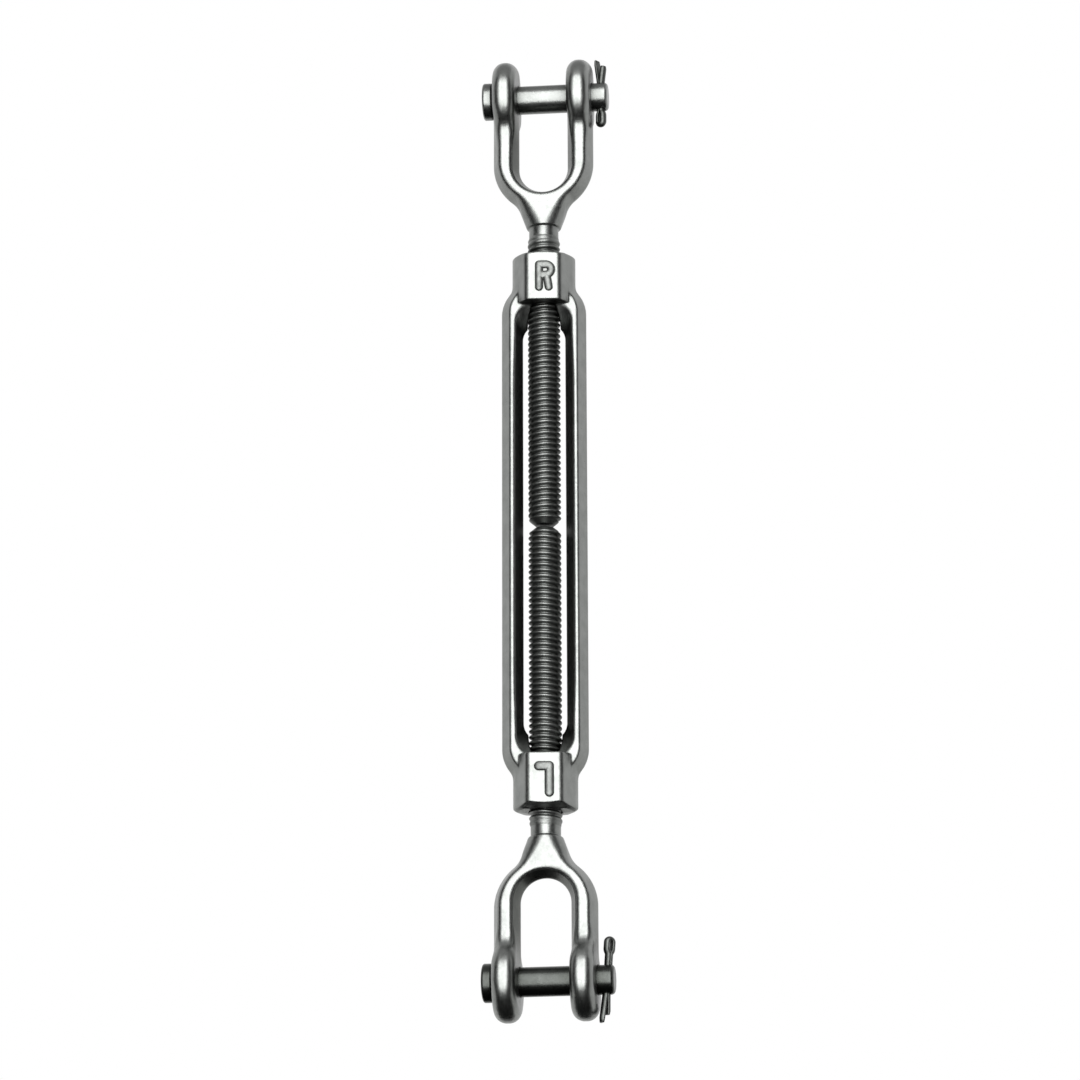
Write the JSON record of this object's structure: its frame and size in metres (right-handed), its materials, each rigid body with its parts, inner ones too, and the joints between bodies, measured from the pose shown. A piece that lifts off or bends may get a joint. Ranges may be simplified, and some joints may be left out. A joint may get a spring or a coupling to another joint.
{
  "type": "jaw and jaw turnbuckle",
  "caption": "Forged, galvanised jaw-and-jaw turnbuckle for tightening rigging: an open body turned over a right-hand and a left-hand screw, each with a clevis jaw, pin and cotter.",
  "frame": {"origin": "middle of the lower clevis pin, on the screw axis", "axes": "+Z along the screw axis from the lower jaw to the upper one; +X along the lower clevis pin from its head to its cotter; -Y towards the viewer of the picture"},
  "size_m": [0.0312, 0.0194, 0.2422],
  "materials": {
    "forging": "hot-dip galvanised forging, satin grey with faint mottling",
    "pin_steel": "turned steel pin, galvanised, smoother than the forgings",
    "cotter_wire": "half-round steel wire, darker grey"
  },
  "bodies": {
    "lower_jaw": {"lower_jaw": "forging"},
    "barrel": {"turnbuckle_body": "forging"},
    "upper_jaw": {"upper_jaw": "forging"},
    "lower_pin": {"lower_clevis_pin": "pin_steel", "lower_cotter_pin": "cotter_wire"},
    "upper_pin": {"upper_clevis_pin": "pin_steel", "upper_cotter_pin": "cotter_wire"}
  },
  "joints": [
    {"name": "barrel_travel", "type": "slide", "parent": "lower_jaw", "child": "barrel", "axis": [0, 0, 1], "range_m": [0, 0.0545]},
    {"name": "upper_screw_travel", "type": "slide", "parent": "barrel", "child": "upper_jaw", "axis": [0, 0, 1], "range_m": [0, 0.0545]},
    {"name": "lower_pin_turn", "type": "hinge", "parent": "lower_jaw", "child": "lower_pin", "pos_m": [0, 0, 0], "axis": [1, 0, 0], "continuous": true},
    {"name": "upper_pin_turn", "type": "hinge", "parent": "upper_jaw", "child": "upper_pin", "pos_m": [0, 0, 0.222], "axis": [0.9997, 0.0262, 0], "continuous": true}
  ],
  "couplings": [
    {"joint": "upper_screw_travel", "follows": "barrel_travel", "ratio": 1}
  ]
}
